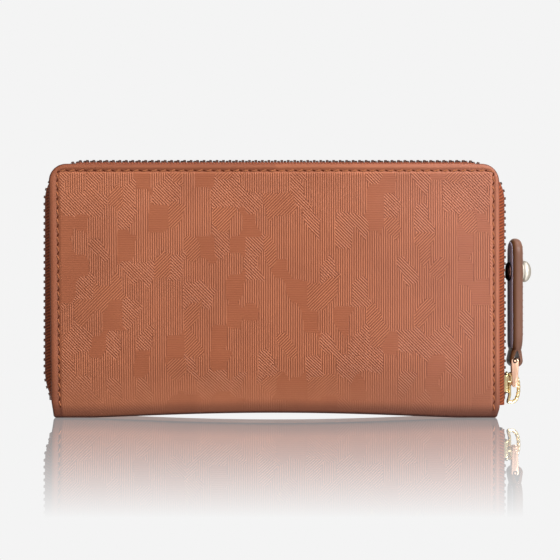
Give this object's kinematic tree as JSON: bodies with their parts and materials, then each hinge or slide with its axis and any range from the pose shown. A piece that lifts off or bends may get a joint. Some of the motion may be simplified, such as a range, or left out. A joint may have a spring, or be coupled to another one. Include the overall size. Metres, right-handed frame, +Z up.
{
  "type": "zip around wallet",
  "caption": "Long leather wallet closed by a zip round its ends and top, with card slots, a zipped coin pocket and a leather pull.",
  "frame": {"origin": "middle of the flat underside of the spine, on which the wallet stands", "axes": "+X along the spine towards the closed end of the zip, where the pull is; +Y from the front cover to the back cover; +Z up"},
  "size_m": [0.2104, 0.024, 0.1109],
  "materials": {
    "leather": "satin, embossed with fine lines",
    "inner_leather": "satin",
    "pull_leather": "satin, painted edges",
    "board": "matt fibre board, hidden",
    "filler": "matt, hidden",
    "lining": "matt twill",
    "grey_lining": "matt",
    "zip_tape": "woven",
    "zip_metal": "polished nickel",
    "gold_metal": "pale gold plate",
    "rose_gold_metal": "rose gold plate",
    "dark_metal": "dark satin"
  },
  "bodies": {
    "spine": {"spine_leather": "leather", "spine_board": "board", "spine_lining": "lining", "coin_pocket_front_wall": "inner_leather", "coin_pocket_back_wall": "inner_leather", "coin_pocket_base": "lining", "coin_zip_front_tape": "zip_tape", "coin_zip_back_tape": "zip_tape", "coin_zip_chain": "zip_metal", "front_gusset_left": "lining", "front_gusset_right": "lining", "back_gusset_left": "lining", "back_gusset_right": "lining"},
    "front_cover": {"front_leather": "leather", "front_board": "board", "front_lining": "lining", "front_slip_pocket": "inner_leather", "front_card_slot_1": "inner_leather", "front_card_slot_2": "inner_leather", "front_card_slot_3": "inner_leather", "front_card_slot_4": "inner_leather", "front_zip_tape": "zip_tape", "front_zip_teeth": "zip_metal", "front_top_stop": "zip_metal", "front_bottom_stop": "zip_metal"},
    "back_cover": {"back_leather": "leather", "back_board": "board", "back_lining": "lining", "back_slip_pocket": "inner_leather", "back_card_slot_1": "inner_leather", "back_card_slot_2": "inner_leather", "back_card_slot_3": "inner_leather", "back_card_slot_4": "inner_leather", "back_zip_tape": "zip_tape", "back_zip_teeth": "zip_metal", "back_top_stop": "zip_metal", "back_bottom_stop": "zip_metal"},
    "slider": {"slider_body": "gold_metal"},
    "d_ring": {"d_ring": "gold_metal"},
    "link": {"pull_link": "rose_gold_metal"},
    "pull": {"strap_leather": "pull_leather", "strap_core": "filler", "strap_lining": "grey_lining", "stud_cap": "gold_metal", "stud_back": "dark_metal"},
    "coin_slider": {"coin_slider": "gold_metal"},
    "coin_pull": {"coin_pull_tab": "gold_metal"}
  },
  "joints": [
    {"name": "front_cover_hinge", "type": "hinge", "parent": "spine", "child": "front_cover", "pos_m": [0, -0.0114, 0.0036], "axis": [1, 0, 0], "range_deg": [0, 40]},
    {"name": "back_cover_hinge", "type": "hinge", "parent": "spine", "child": "back_cover", "pos_m": [0, 0.0114, 0.0036], "axis": [-1, 0, 0], "range_deg": [0, 40]},
    {"name": "slider_travel", "type": "slide", "parent": "back_cover", "child": "slider", "axis": [0, 0, 1], "range_m": [0, 0.068]},
    {"name": "d_ring_swing", "type": "hinge", "parent": "slider", "child": "d_ring", "pos_m": [0.1018, 0, 0.0123], "axis": [0, 0, 1], "range_deg": [-10, 2]},
    {"name": "link_pivot", "type": "hinge", "parent": "d_ring", "child": "link", "pos_m": [0.10398, 0.00031, 0.0136], "axis": [0.0698, 0.9976, 0], "range_deg": [0, 95]},
    {"name": "pull_pivot", "type": "hinge", "parent": "link", "child": "pull", "pos_m": [0.10398, 0.00031, 0.0242], "axis": [0.0698, 0.9976, 0], "range_deg": [0, 55]},
    {"name": "coin_slider_travel", "type": "slide", "parent": "spine", "child": "coin_slider", "axis": [-1, 0, 0], "range_m": [0, 0.14]},
    {"name": "coin_pull_pivot", "type": "hinge", "parent": "coin_slider", "child": "coin_pull", "pos_m": [0.072, 0, 0.08685], "axis": [0, 1, 0], "range_deg": [0, 170]}
  ]
}
